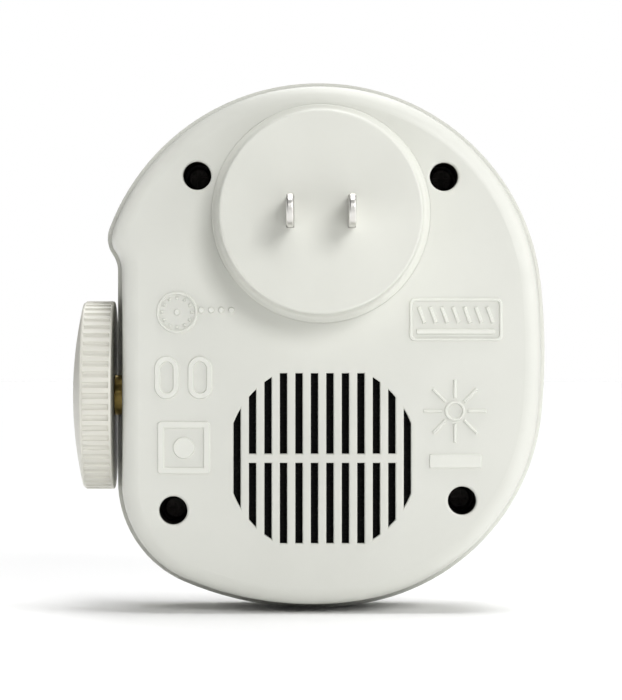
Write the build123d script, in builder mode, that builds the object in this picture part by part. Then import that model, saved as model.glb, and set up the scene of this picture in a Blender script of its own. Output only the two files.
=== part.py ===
from build123d import *

import os
from math import cos, hypot, radians, sin, sqrt, tan

# Plug-in ultrasonic pest repeller, in millimetres.
# The origin is the middle of the plug disc's outer face, between the two blades. +Z is up and +Y
# points at the wall that the blades plug into, so depth into the device runs along -Y.

# ---- driving dimensions ----
# plug: two flat blades of the common 12.7 mm spacing, on a round disc
blade_spacing = 12.7
blade_width = 6.6
blade_thick = 1.5
blade_out = 16.0
blade_tip_r = 3.0
blade_edge_r = 0.4
blade_slot_gap = 0.05
shoulder_width = 9.0
shoulder_depth = 1.5
tail_width = 4.0
tail_length = 5.4
disc_r = 21.1
disc_neck_r = 21.5
disc_base_r = 22.9
disc_height = 12.0
disc_seat = 0.4
disc_gap = 0.05
disc_flange = 0.5
disc_cove_r = 1.25
disc_rim_r = 0.3
disc_face = 2.6
disc_wall = 2.2
disc_edge_r = 0.6
plug_boss_r = 2.9
plug_boss_ring_r = 16.2
holder_thick = 4.0
holder_ear = 2.4
holder_boss_r = 2.4
holder_side = 3.5
holder_wall = 1.0
holder_corner_r = 1.5
holder_screw_x = 13.0
holder_screw_bite = 3.6
screw_end_gap = 0.4

# housing: outline arcs at the split line, named by where they lie (x, z of the centres, radii)
crown_x = 0.43
crown_z = -19.2
belly_x = -1.69
belly_z = -37.6
belly_r = 45.9
side_r = 132.9
base_x = 1.92
base_r = 69.9
flat_x = 43.5
corner_r = 23.5
nose_z = -4.6
nose_r = 6.0
nose_out = 2.204
notch_r = 6.0
rear_depth = 21.0
front_depth = 21.0
wall = 2.2
draft = 3.5
lip_step = 0.8
split_line = 0.25
back_edge_r = 3.4
front_edge_r = 4.0
tongue_thick = 1.2
tongue_reach = 1.5
tongue_gap = 0.2
tongue_root = 2.0

# housing screws, at the bottom of four deep wells
well_spots = [(25.9, 7.9), (-25.7, 7.7), (30.9, -62.1), (-29.5, -60.05)]
well_r = 2.95
well_wall = 1.3
well_floor = 2.0
well_short = 1.0
well_boss_wall = 0.5
well_rim_r = 0.55
house_screw_r = 1.25
house_screw_head_r = 2.6
house_screw_head = 1.9
house_screw_length = 12.0
screw_gap = 0.05
recess_length = 1.3
recess_width = 0.3

# vents: slots cut off by a circle, the rear ones with a cross bar
vent_x = -0.25
vent_z = -51.2
vent_r = 20.0
vent_flat = 17.8
slot_pitch = 3.24
slot_count = 12
slot_width = 1.54
slot_edge = 0.2
vent_bar = 1.9
mesh_thick = 0.4
mesh_rim = 1.2
mesh_gap = 0.1
mesh_rim_height = 2.6
front_vent_r = 15.2
front_slot_count = 9
ring_groove_r = 18.2
ring_groove_width = 0.9
ring_groove_depth = 0.6

# relief marks on the back
relief = 0.45
relief_taper = 25
mark_stroke = 0.7

# rotary control and its wheel, on an axis along X at the split line
knob_z = -38.2
knob_r = 20.1
knob_gap = 0.6
knob_rim = 6.0
knob_dome = 2.9
knob_wall = 1.8
knob_web = 1.8
knob_edge_r = 0.35
knob_plain = 0.5
rib_count = 55
rib_groove_r = 0.68
rib_groove_out = 0.15
cap_step = 0.25
cap_edge = 0.55
cap_seat = 0.8
cap_lip = 0.6
cap_gap = 0.05
shaft_r = 3.0
shaft_flat = 0.8
run_gap = 0.05
bush_r = 4.25
bush_hole_gap = 0.1
bush_into_knob = 0.2
can_r = 8.5
can_length = 9.0
can_wall = 0.8
can_gap = 0.1
hub_r = 5.6
hub_gap = 0.3
pointer_width = 1.4
can_edge_r = 0.5
can_window = 1.4
can_window_width = 8.0
bush_edge = 0.3
track_thick = 1.2
terminal_thick = 0.5
terminal_width = 1.2
terminal_pitch = 2.54
terminal_root = 4.0
terminal_out = 1.2
wiper_lift = 1.6
wiper_thick = 0.6
wiper_r = 4.2
wiper_arm = 4.0
wiper_arm_width = 2.0
wiper_arm_at = 4.5
shaft_pin_r = 2.0
collar_r = 4.4

# main board, carried on posts behind the plug
board_lift = 10.8
board_thick = 1.6
board_corner_r = 1.0
board_width = 68.0
board_bottom = -28.0
board_top = 2.0
tab_width = 40.0
tab_top = 18.0
post_spots = [(30.5, -8.0), (-30.5, -24.0), (14.0, 14.0), (-14.0, 14.0)]
post_r = 3.0
small_screw_r = 0.95
small_head_r = 1.9
small_head = 1.3
small_screw_length = 6.0

# sounder, on the vent's axis, facing the front
sounder_r = 19.5
sounder_seat = 3.8
flange_thick = 1.0
basket_depth = 8.2
basket_back_r = 9.6
magnet_r = 10.5
magnet_thick = 5.0
plate_thick = 1.5
pole_r = 3.9
coil_gap = 0.15
coil_thick = 0.3
cone_rim_r = 18.5
cone_rim_thick = 0.3
gasket_thick = 0.5
gasket_width = 2.2
seat_gap = 0.1
ear_overlap = 1.0
ear_r = 2.9
ear_ring_r = 21.6
ear_angles = (30, 150, 270)
basket_mouth_r = 16.9
basket_bore_r = 6.0
basket_wall = 1.0
magnet_bore_gap = 1.8
magnet_edge = 0.2
plate_inset = 0.4
coil_reach = 1.0
throat_lift = 2.6
throat_tall = 0.6
throat_wall = 0.3
cone_mouth_r = 15.3
cone_wall = 0.5

# light window above the sounder
window_x = 0.4
window_z = 4.0
window_r = 2.5
window_flange_r = 4.0
window_gap = 0.05
window_flange = 1.0
window_edge_r = 0.5
lamp_r = 1.5
lamp_length = 5.3
lamp_back = 7.0
lamp_rim = 0.4
lamp_rim_thick = 1.0
lamp_gap = 0.5
lamp_leg = 0.5
lamp_pitch = 1.27

core_x = -19.0
core_z = -13.0
core_width = 20.0
core_height = 18.0
core_thick = 6.0
core_lift = 5.0
core_corner_r = 0.8
window_wide = 4.0
window_tall = 12.0
centre_leg = 4.0
winding_gap = 0.1
winding_side_gap = 0.2
winding_corner_r = 1.2
coil_side = 3.0
base_inset = 1.0
# components on the board's front: (name, (x, z), (width, height, thick), edge)
board_blocks = [
    ("film_capacitor", (12.0, -20.5), (13.0, 5.5, 10.5), 0.6),
    ("bridge_rectifier", (24.0, -3.5), (6.4, 4.6, 2.6), 0.4),
    ("power_transistor", (26.0, -15.0), (7.8, 3.2, 11.0), 0.5),
]
can_rows = [(0.5, -8.0, 4.0, 12.0), (10.5, -8.5, 4.0, 12.0), (17.5, -3.0, 2.5, 7.0)]
bead_lift = 1.2
bead_width = 0.8
bead_depth = 0.25
chip_x = -0.5
chip_z = -21.0
chip_length = 9.4
chip_width = 6.2
chip_thick = 3.2
chip_lift = 0.5
chip_notch_r = 0.8
chip_legs = 4
leg_pitch = 2.54
leg_wide = 1.2
leg_deep = 1.0
leg_tall = 2.4
fuse_x = -8.0
fuse_z = 8.5
fuse_length = 9.0
fuse_r = 1.7
fuse_cap_r = 2.0
fuse_cap = 1.5
fuse_foot = 0.6
fuse_lift = 2.2
resistor_spots = [(6.5, 7.5), (6.5, 11.0), (6.5, 14.5), (-5.5, 0.0), (23.5, -22.5), (23.5, -26.0)]
resistor_r = 1.1
resistor_length = 6.0
resistor_lift = 1.2
leg_span = 8.0
wire_r = 0.3
ceramic_r = 2.6
ceramic_thick = 1.6
ceramic_lift = 4.2

# leads inside the housing
lead_r = 0.8
lead_turn = 2.3
control_lead_r = 0.45
control_land_z = -24.5
sounder_lead_r = 0.55
sounder_exit_x = 3.0
sounder_exit_z = -26.6
lead_clear = 0.4

# ---- places worked out from them ----
ceramic_spots = [
    (vent_x - sounder_exit_x - sounder_lead_r - lead_clear - ceramic_r, -26.0),
    (17.5, 4.5),
    (3.0, -1.5),
]
back_depth = disc_height
split_depth = back_depth + rear_depth
front_face = split_depth + front_depth
back_inset = lip_step + rear_depth * tan(radians(draft))
front_inset = front_depth * tan(radians(draft))
inner_back = back_depth + wall
inner_front = front_face - wall
well_end = split_depth - well_short
knob_depth = split_depth
knob_face_x = flat_x + knob_gap
knob_edge_x = knob_face_x + knob_rim
bush_end_x = knob_face_x + bush_into_knob
tongue_face_x = flat_x - wall - tongue_gap - tongue_thick
can_face_x = tongue_face_x - can_gap
board_depth = inner_back + board_lift
board_front = board_depth + board_thick
core_depth = board_front + core_lift
flange_front = inner_front - sounder_seat - gasket_thick - cone_rim_thick
flange_back = flange_front - flange_thick
basket_back = flange_front - basket_depth - flange_thick
ear_spots = [(ear_ring_r * cos(radians(a)), ear_ring_r * sin(radians(a))) for a in ear_angles]

os.makedirs("parts", exist_ok=True)


def save(piece, name):
    """Labels a finished piece and writes it to the file of the same name."""
    piece.label = name
    export_step(piece, f"parts/{name}.step")


def at_depth(depth, x=0, z=0):
    """The plane at a depth from the disc's face: its x is X, its y is Z, and it faces the room."""
    return Plane(origin=(x, -depth, z), x_dir=(1, 0, 0), z_dir=(0, -1, 0))


def at_x(x):
    """The plane across the knob's axis at x: its x is Y, its y is Z, and it faces +X."""
    return Plane(origin=(x, -knob_depth, knob_z), x_dir=(0, 1, 0), z_dir=(1, 0, 0))


knob_side = Plane(origin=(0, -knob_depth, knob_z), x_dir=(1, 0, 0), z_dir=(0, -1, 0))
knob_axis = Axis((0, -knob_depth, knob_z), (1, 0, 0))
vent_side = Plane(origin=(vent_x, 0, vent_z), x_dir=(0, -1, 0), z_dir=(1, 0, 0))
vent_axis = Axis((vent_x, 0, vent_z), (0, -1, 0))


# ---- the housing's outline ----
def beyond(centre, other, radius):
    """The point a radius from a centre, on the line from another point through that centre."""
    dx = centre[0] - other[0]
    dz = centre[1] - other[1]
    scale = radius / hypot(dx, dz)
    return (centre[0] + dx * scale, centre[1] + dz * scale)


def towards(centre, other, radius):
    """The point a radius from a centre, on the side of another point."""
    return beyond(centre, other, -radius)


def leg(long, short):
    """The other short side of a right triangle."""
    return sqrt(long**2 - short**2)


def circles_meet(a, ra, b, rb):
    """Where two circles meet, on the side of the larger x."""
    dx = b[0] - a[0]
    dz = b[1] - a[1]
    apart = hypot(dx, dz)
    along = (ra**2 - rb**2 + apart**2) / (2 * apart)
    off = leg(ra, along)
    foot = (a[0] + along * dx / apart, a[1] + along * dz / apart)
    ends = [
        (foot[0] + side * off * dz / apart, foot[1] - side * off * dx / apart)
        for side in (1, -1)
    ]
    return max(ends)


nose = (flat_x + nose_out - nose_r, nose_z)
crown = (crown_x, crown_z)
crown_r = hypot(nose[0] - crown_x, nose_z - crown_z) + nose_r
belly = (belly_x, belly_z)
side = circles_meet(crown, side_r - crown_r, belly, side_r - belly_r)
base = (base_x, belly_z + leg(base_r - belly_r, base_x - belly_x))
corner = (flat_x - corner_r, base[1] - leg(base_r - corner_r, flat_x - corner_r - base_x))
notch = (flat_x + notch_r, nose_z - leg(nose_r + notch_r, flat_x + notch_r - nose[0]))


def arc_about(centre, radius, start, end):
    """An arc under half a turn, about a centre."""
    middle = ((start[0] + end[0]) / 2, (start[1] + end[1]) / 2)
    return ThreePointArc(start, towards(centre, middle, radius), end)


def housing_outline(inset):
    """The housing's outline, with every side moved inwards by the inset."""
    crown_nose = towards(crown, nose, crown_r - inset)
    nose_notch = towards(nose, notch, nose_r - inset)
    flat_top = (flat_x - inset, notch[1])
    flat_bottom = (flat_x - inset, corner[1])
    corner_base = towards(base, corner, base_r - inset)
    base_belly = towards(base, belly, base_r - inset)
    belly_side = beyond(belly, side, belly_r - inset)
    side_crown = beyond(crown, side, crown_r - inset)
    with BuildSketch() as outline:
        with BuildLine():
            arc_about(crown, crown_r - inset, side_crown, crown_nose)
            arc_about(nose, nose_r - inset, crown_nose, nose_notch)
            arc_about(notch, notch_r + inset, nose_notch, flat_top)
            Line(flat_top, flat_bottom)
            arc_about(corner, corner_r - inset, flat_bottom, corner_base)
            arc_about(base, base_r - inset, corner_base, base_belly)
            arc_about(belly, belly_r - inset, base_belly, belly_side)
            arc_about(side, side_r - inset, belly_side, side_crown)
        make_face()
    return outline.sketch_local


def housing_slab(near, near_inset, far, far_inset):
    """A solid with the housing's outline, from one depth and inset to another."""
    with BuildPart() as slab:
        with BuildSketch(at_depth(near)):
            add(housing_outline(near_inset))
        with BuildSketch(at_depth(far)):
            add(housing_outline(far_inset))
        loft(ruled=True)
    return slab.part


def slot_field(radius, flat, count, bar, grow):
    """A row of upright slots cut off by a circle, with a cross bar that misses the end slots."""
    with BuildSketch() as field:
        with GridLocations(slot_pitch, 0, count, 1):
            Rectangle(slot_width + 2 * grow, 2 * (flat + grow))
        Circle(radius + grow, mode=Mode.INTERSECT)
        if bar:
            Rectangle(slot_pitch * (count - 2), bar - 2 * grow, mode=Mode.SUBTRACT)
    return field.sketch_local


def control_hole(part_end_x):
    """The round hole in the flat side that the control's bushing stands in."""
    with BuildPart() as hole:
        with BuildSketch(at_x(tongue_face_x - 1)):
            Circle(bush_r + bush_hole_gap)
        extrude(amount=part_end_x - tongue_face_x + 1)
    return hole.part


# ---- marks in relief on the back: plain shapes with no lettering ----
def date_clock(radius):
    """A ring with a dot and twelve ticks, as tool makers put in a mould."""
    with BuildSketch() as mark:
        Circle(radius)
        Circle(radius - mark_stroke, mode=Mode.SUBTRACT)
        Circle(mark_stroke)
        with PolarLocations(radius - 1.9 * mark_stroke, 12):
            Rectangle(mark_stroke, mark_stroke)
    return mark.sketch_local


def upright_ring(width, height, stroke):
    """A tall ring with round ends."""
    with BuildSketch() as mark:
        SlotOverall(height, width, rotation=90)
        SlotOverall(height - 2 * stroke, width - 2 * stroke, rotation=90, mode=Mode.SUBTRACT)
    return mark.sketch_local


def framed_dot(size, stroke, dot):
    """A square frame round a dot."""
    with BuildSketch() as mark:
        RectangleRounded(size, size, stroke / 2)
        Rectangle(size - 2 * stroke, size - 2 * stroke, mode=Mode.SUBTRACT)
        Circle(dot)
    return mark.sketch_local


def hatched_plate(width, height, stroke):
    """A frame with a row of slanted strokes over a bar."""
    room = width - 4 * stroke
    with BuildSketch() as mark:
        RectangleRounded(width, height, 1.6 * stroke)
        RectangleRounded(width - 2 * stroke, height - 2 * stroke, stroke, mode=Mode.SUBTRACT)
        with Locations((0, height / 9)):
            with GridLocations(room / 7, 0, 7, 1):
                Rectangle(1.3 * stroke, height / 2.4, rotation=-20)
        with Locations((0, -height / 3.6)):
            RectangleRounded(room, 1.7 * stroke, 0.6 * stroke)
    return mark.sketch_local


def ray_mark(radius, stroke):
    """A small ring with eight rays."""
    with BuildSketch() as mark:
        Circle(radius / 3)
        Circle(radius / 3 - stroke, mode=Mode.SUBTRACT)
        with PolarLocations(0.7 * radius, 8):
            Rectangle(0.6 * radius, stroke)
    return mark.sketch_local


def dot_row():
    """Four dots in a row."""
    with BuildSketch() as mark:
        with GridLocations(2.1, 0, 4, 1):
            Circle(mark_stroke)
    return mark.sketch_local


def plain_bar():
    """A bar with eased corners."""
    with BuildSketch() as mark:
        RectangleRounded(11.0, 3.0, 0.4)
    return mark.sketch_local


mark_places = [
    ((30.1, -20.7), date_clock(4.4)),
    ((21.9, -20.2), dot_row()),
    ((32.3, -34.3), upright_ring(5.2, 9.0, 1.3)),
    ((25.3, -34.3), upright_ring(5.2, 9.0, 1.3)),
    ((28.7, -49.0), framed_dot(11.1, 1.5, 2.3)),
    ((-28.2, -22.2), hatched_plate(19.5, 9.0, mark_stroke)),
    ((-28.0, -41.3), ray_mark(6.6, mark_stroke)),
    ((-28.1, -51.8), plain_bar()),
]


# ---- rear shell ------------------------------------------------------------
rim_depth = split_depth - split_line
rim_inset = lip_step + split_line * tan(radians(draft))
plug_boss_spots = [
    (plug_boss_ring_r * cos(radians(angle)), plug_boss_ring_r * sin(radians(angle)))
    for angle in (90, 210, 330)
]
tongue_inset = wall + tongue_gap

with BuildPart() as rear_shell:
    add(housing_slab(back_depth, back_inset, rim_depth, rim_inset))
    fillet(rear_shell.faces().sort_by(Axis.Y)[-1].edges(), back_edge_r)
    add(
        housing_slab(inner_back, back_inset + wall, rim_depth, rim_inset + wall),
        mode=Mode.SUBTRACT,
    )
    # tongue that stands into the front shell
    with BuildSketch(at_depth(split_depth - tongue_root)):
        add(housing_outline(tongue_inset))
        add(housing_outline(tongue_inset + tongue_thick), mode=Mode.SUBTRACT)
    extrude(amount=tongue_root + tongue_reach)
    # screw wells
    with BuildSketch(at_depth(inner_back - wall / 2)):
        with Locations(*well_spots):
            Circle(well_r + well_wall)
    extrude(amount=well_end - inner_back + wall / 2)
    with BuildSketch(at_depth(back_depth)):
        with Locations(*well_spots):
            Circle(well_r)
    extrude(amount=well_end - well_floor - back_depth, mode=Mode.SUBTRACT)
    with BuildSketch(at_depth(back_depth)):
        with Locations(*well_spots):
            Circle(house_screw_r + screw_gap)
    extrude(amount=well_end - back_depth, mode=Mode.SUBTRACT)
    # board posts
    with BuildSketch(at_depth(inner_back - wall / 2)):
        with Locations(*post_spots):
            Circle(post_r)
    extrude(amount=board_depth - inner_back + wall / 2)
    with BuildSketch(at_depth(board_depth)):
        with Locations(*post_spots):
            Circle(small_screw_r + screw_gap)
    extrude(amount=-small_screw_length, mode=Mode.SUBTRACT)
    # rim round the dust mesh
    with BuildSketch(at_depth(inner_back, vent_x, vent_z)):
        Circle(vent_r + 2 * mesh_rim)
        Circle(vent_r + mesh_rim, mode=Mode.SUBTRACT)
    extrude(amount=mesh_rim_height)
    # seat of the plug disc, the hole behind it and its screw holes
    with BuildSketch(at_depth(back_depth)):
        Circle(disc_base_r + disc_gap)
    extrude(amount=disc_seat, mode=Mode.SUBTRACT)
    with BuildSketch(at_depth(back_depth)):
        Circle(blade_spacing)
        with Locations(*plug_boss_spots):
            Circle(small_screw_r + screw_gap)
    extrude(amount=wall, mode=Mode.SUBTRACT)
    # vent
    with BuildSketch(at_depth(back_depth, vent_x, vent_z)):
        add(slot_field(vent_r, vent_flat, slot_count, vent_bar, 0))
    extrude(amount=wall, mode=Mode.SUBTRACT)
    with BuildSketch(at_depth(back_depth, vent_x, vent_z)):
        add(slot_field(vent_r, vent_flat, slot_count, vent_bar, slot_edge))
    extrude(amount=slot_edge, taper=45, mode=Mode.SUBTRACT)
    add(control_hole(flat_x), mode=Mode.SUBTRACT)
    back_edges = rear_shell.edges().filter_by_position(
        Axis.Y, -back_depth - 0.01, -back_depth + 0.01
    )
    well_mouths = back_edges.filter_by(
        lambda edge: edge.geom_type == GeomType.CIRCLE and abs(edge.radius - well_r) < 0.01
    )
    fillet(well_mouths, well_rim_r)
    # marks
    for spot, mark in mark_places:
        with BuildSketch(at_depth(back_depth, *spot)):
            add(mark)
        extrude(amount=-relief, taper=relief_taper)
save(rear_shell.part, "rear_shell")


# ---- front shell ----
seat_depth = inner_front - sounder_seat
seat_r = cone_rim_r - gasket_width - seat_gap
boss_r = well_r + well_boss_wall
with BuildPart() as front_shell:
    add(housing_slab(split_depth, 0, front_face, front_inset))
    fillet(front_shell.faces().sort_by(Axis.Y)[0].edges(), front_edge_r)
    add(
        housing_slab(split_depth, wall, inner_front, front_inset + wall),
        mode=Mode.SUBTRACT,
    )
    # bosses that the housing screws bite into
    with BuildSketch(at_depth(well_end)):
        with Locations(*well_spots):
            Circle(boss_r)
    extrude(amount=inner_front - well_end + wall / 2)
    with BuildSketch(at_depth(well_end)):
        with Locations(*well_spots):
            Circle(house_screw_r + screw_gap)
    extrude(amount=house_screw_length, mode=Mode.SUBTRACT)
    # ring that the sounder seals against, and its three screw bosses
    with BuildSketch(at_depth(seat_depth, vent_x, vent_z)):
        Circle(sounder_r)
        Circle(seat_r, mode=Mode.SUBTRACT)
    extrude(amount=sounder_seat + wall / 2)
    with BuildSketch(at_depth(flange_front, vent_x, vent_z)):
        with Locations(*ear_spots):
            Circle(ear_r)
        Circle(cone_rim_r + 3 * seat_gap, mode=Mode.SUBTRACT)
    extrude(amount=inner_front - flange_front + wall / 2)
    with BuildSketch(at_depth(flange_front, vent_x, vent_z)):
        with Locations(*ear_spots):
            Circle(small_screw_r + screw_gap)
    extrude(amount=small_screw_length - flange_thick, mode=Mode.SUBTRACT)
    # sound slots and light window
    with BuildSketch(at_depth(inner_front, vent_x, vent_z)):
        add(slot_field(front_vent_r, front_vent_r, front_slot_count, 0, 0))
    extrude(amount=wall, mode=Mode.SUBTRACT)
    with BuildSketch(at_depth(front_face, vent_x, vent_z)):
        add(slot_field(front_vent_r, front_vent_r, front_slot_count, 0, slot_edge))
    extrude(amount=-slot_edge, taper=45, mode=Mode.SUBTRACT)
    # groove round the sound slots
    with BuildSketch(at_depth(front_face, vent_x, vent_z)):
        Circle(ring_groove_r)
        Circle(ring_groove_r - ring_groove_width, mode=Mode.SUBTRACT)
    extrude(amount=-ring_groove_depth, mode=Mode.SUBTRACT)
    with BuildSketch(at_depth(inner_front, window_x, window_z)):
        Circle(window_r + window_gap)
    extrude(amount=wall, mode=Mode.SUBTRACT)
    add(control_hole(flat_x + 1), mode=Mode.SUBTRACT)
save(front_shell.part, "front_shell")


# ---- plug ------------------------------------------------------------
disc_end = disc_height + disc_seat
holder_start = disc_face + shoulder_depth
holder_end = holder_start + holder_thick
ear_start = holder_end - holder_ear
holder_screw_spots = [(holder_screw_x, 0.0), (-holder_screw_x, 0.0)]
blade_x = blade_spacing / 2

with BuildPart() as plug_disc:
    with BuildSketch(at_depth(0)):
        Circle(disc_r)
    with BuildSketch(at_depth(disc_end)):
        Circle(disc_neck_r)
    loft()
    fillet(plug_disc.faces().sort_by(Axis.Y)[-1].edges(), disc_edge_r)
    # flange round the foot, with a cove between it and the side
    flange_start = disc_height - disc_flange
    with BuildSketch(at_depth(flange_start)):
        Circle(disc_base_r)
    extrude(amount=disc_end - flange_start)
    foot_edges = plug_disc.edges().filter_by_position(
        Axis.Y, -flange_start - 0.01, -flange_start + 0.01
    )
    foot_edges = foot_edges.sort_by(SortBy.RADIUS)
    fillet(foot_edges[0], disc_cove_r)
    rim_edges = plug_disc.edges().filter_by_position(
        Axis.Y, -flange_start - 0.01, -flange_start + 0.01
    )
    fillet(rim_edges.sort_by(SortBy.RADIUS)[-1], disc_rim_r)
    with BuildSketch(at_depth(disc_face)):
        Circle(disc_r - disc_wall)
    extrude(amount=disc_end - disc_face, mode=Mode.SUBTRACT)
    with BuildSketch(at_depth(disc_face / 2)):
        with Locations(*plug_boss_spots):
            Circle(plug_boss_r)
    extrude(amount=disc_end - disc_face / 2)
    with BuildSketch(at_depth(disc_face / 2)):
        with Locations(*holder_screw_spots):
            Circle(holder_boss_r)
    extrude(amount=ear_start - disc_face / 2)
    with BuildSketch(at_depth(disc_end)):
        with Locations(*plug_boss_spots):
            Circle(small_screw_r + screw_gap)
    extrude(amount=-small_screw_length, mode=Mode.SUBTRACT)
    with BuildSketch(at_depth(ear_start)):
        with Locations(*holder_screw_spots):
            Circle(small_screw_r + screw_gap)
    extrude(amount=-holder_screw_bite, mode=Mode.SUBTRACT)
    with BuildSketch(at_depth(0)):
        with Locations((blade_x, 0), (-blade_x, 0)):
            Rectangle(blade_thick + 2 * blade_slot_gap, blade_width + 2 * blade_slot_gap)
    extrude(amount=disc_face, mode=Mode.SUBTRACT)
save(plug_disc.part, "plug_disc")


def blade(x):
    """One blade: rounded tip, a shoulder behind the disc's face and a narrow tail."""
    with BuildPart() as made:
        with BuildSketch(Plane(origin=(x - blade_thick / 2, 0, 0), x_dir=(0, 1, 0), z_dir=(1, 0, 0))):
            with Locations((blade_out / 2 - disc_face / 2, 0)):
                Rectangle(blade_out + disc_face, blade_width)
            with Locations((-disc_face - shoulder_depth / 2, 0)):
                Rectangle(shoulder_depth, shoulder_width)
            with Locations((-holder_start - tail_length / 2, 0)):
                Rectangle(tail_length, tail_width)
        extrude(amount=blade_thick)
        fillet(made.edges().filter_by(Axis.X).group_by(Axis.Y)[-1], blade_tip_r)
        outline = made.faces().filter_by(Axis.X).edges().filter_by(lambda edge: edge.center().Y > 0)
        fillet(outline, blade_edge_r)
    return made.part


for name, x in (("blade_left", blade_x), ("blade_right", -blade_x)):
    save(blade(x), name)

with BuildPart() as blade_holder:
    with BuildSketch(at_depth(disc_face)):
        RectangleRounded(
            blade_spacing + 2 * holder_side, shoulder_width + 2 * holder_wall, holder_corner_r
        )
    extrude(amount=holder_end - disc_face)
    with BuildSketch(at_depth(ear_start)):
        SlotOverall(2 * (holder_screw_x + holder_boss_r), 2 * holder_boss_r)
    extrude(amount=holder_ear)
    with BuildSketch(at_depth(disc_face)):
        with Locations((blade_x, 0), (-blade_x, 0)):
            Rectangle(blade_thick + 2 * blade_slot_gap, shoulder_width + 2 * blade_slot_gap)
    extrude(amount=shoulder_depth, mode=Mode.SUBTRACT)
    with BuildSketch(at_depth(disc_face)):
        with Locations((blade_x, 0), (-blade_x, 0)):
            Rectangle(blade_thick + 2 * blade_slot_gap, tail_width + 2 * blade_slot_gap)
        with Locations(*holder_screw_spots):
            Circle(small_screw_r + screw_gap)
    extrude(amount=holder_end - disc_face, mode=Mode.SUBTRACT)
save(blade_holder.part, "blade_holder")


# ---- screws ------------------------------------------------------------
def screw_group(spots, head_depth, towards_room, shank_r, head_r, head, length):
    """Pan-head screws with a cross recess, their heads' undersides at one depth."""
    way = 1 if towards_room else -1
    with BuildPart() as group:
        with BuildSketch(at_depth(head_depth)):
            with Locations(*spots):
                Circle(head_r)
        extrude(amount=-way * head)
        tops = group.faces().filter_by(Axis.Y).group_by(Axis.Y)[-1 if towards_room else 0]
        fillet(tops.edges(), head / 3)
        with BuildSketch(at_depth(head_depth - way * head)):
            with Locations(*spots):
                Rectangle(recess_length * head_r, recess_width * head_r)
                Rectangle(recess_width * head_r, recess_length * head_r)
        extrude(amount=way * head / 2, mode=Mode.SUBTRACT)
        with BuildSketch(at_depth(head_depth)):
            with Locations(*spots):
                Circle(shank_r)
        extrude(amount=way * length)
    return group.part


save(
    screw_group(
        well_spots,
        well_end - well_floor,
        True,
        house_screw_r,
        house_screw_head_r,
        house_screw_head,
        house_screw_length,
    ),
    "housing_screws",
)
save(
    screw_group(
        holder_screw_spots,
        holder_end,
        False,
        small_screw_r,
        small_head_r,
        small_head,
        holder_ear + holder_screw_bite - screw_end_gap,
    ),
    "holder_screws",
)
save(
    screw_group(
        plug_boss_spots, inner_back, False, small_screw_r, small_head_r, small_head, small_screw_length
    ),
    "plug_screws",
)
save(
    screw_group(
        post_spots, board_front, False, small_screw_r, small_head_r, small_head, small_screw_length
    ),
    "board_screws",
)
sounder_screw_spots = [(vent_x + x, vent_z + z) for x, z in ear_spots]
save(
    screw_group(
        sounder_screw_spots, flange_back, True, small_screw_r, small_head_r, small_head, small_screw_length
    ),
    "sounder_screws",
)


# ---- dust meshes and light window ----
with BuildPart() as rear_mesh:
    with BuildSketch(at_depth(inner_back, vent_x, vent_z)):
        Circle(vent_r + mesh_rim - mesh_gap)
    extrude(amount=mesh_thick)
save(rear_mesh.part, "rear_mesh")

with BuildPart() as front_mesh:
    with BuildSketch(at_depth(inner_front, vent_x, vent_z)):
        Circle(seat_r - seat_gap)
    extrude(amount=-mesh_thick)
save(front_mesh.part, "front_mesh")

lamp_tip = inner_front - lamp_back
lamp_foot = lamp_tip - lamp_length
window_back = lamp_tip + lamp_gap
with BuildPart() as light_window:
    with BuildSketch(at_depth(window_back, window_x, window_z)):
        Circle(window_r)
    extrude(amount=front_face - window_back)
    with BuildSketch(at_depth(inner_front, window_x, window_z)):
        Circle(window_flange_r)
    extrude(amount=-window_flange)
    fillet(light_window.faces().sort_by(Axis.Y)[0].edges(), window_edge_r)
save(light_window.part, "light_window")

with BuildPart() as indicator_lamp:
    with BuildSketch(at_depth(lamp_foot, window_x, window_z)):
        Circle(lamp_r + lamp_rim)
    extrude(amount=lamp_rim_thick)
    with BuildSketch(at_depth(lamp_foot, window_x, window_z)):
        Circle(lamp_r)
    extrude(amount=lamp_length)
    fillet(indicator_lamp.faces().sort_by(Axis.Y)[0].edges(), 0.95 * lamp_r)
    with BuildSketch(at_depth(board_front, window_x, window_z)):
        with GridLocations(lamp_pitch, 0, 2, 1):
            Rectangle(lamp_leg, lamp_leg)
    extrude(amount=lamp_foot - board_front)
save(indicator_lamp.part, "indicator_lamp")


# ---- main board ------------------------------------------------------------
with BuildPart() as main_board:
    with BuildSketch(at_depth(board_depth)):
        with Locations((0, (board_bottom + board_top) / 2)):
            Rectangle(board_width, board_top - board_bottom)
        with Locations((0, (board_top + tab_top) / 2)):
            Rectangle(tab_width, tab_top - board_top)
        with Locations(*post_spots):
            Circle(small_screw_r + screw_gap, mode=Mode.SUBTRACT)
    extrude(amount=board_thick)
    fillet(main_board.edges().filter_by(Axis.Y).filter_by(GeomType.LINE), board_corner_r)
save(main_board.part, "main_board")

with BuildPart() as transformer_core:
    with BuildSketch(at_depth(core_depth, core_x, core_z)):
        Rectangle(core_width, core_height)
        with GridLocations(centre_leg + window_wide, 0, 2, 1):
            Rectangle(window_wide, window_tall, mode=Mode.SUBTRACT)
    extrude(amount=core_thick)
    upright = transformer_core.edges().filter_by(Axis.Y).group_by(Axis.X)
    fillet(upright[0] + upright[-1], core_corner_r)
save(transformer_core.part, "transformer_core")

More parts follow.
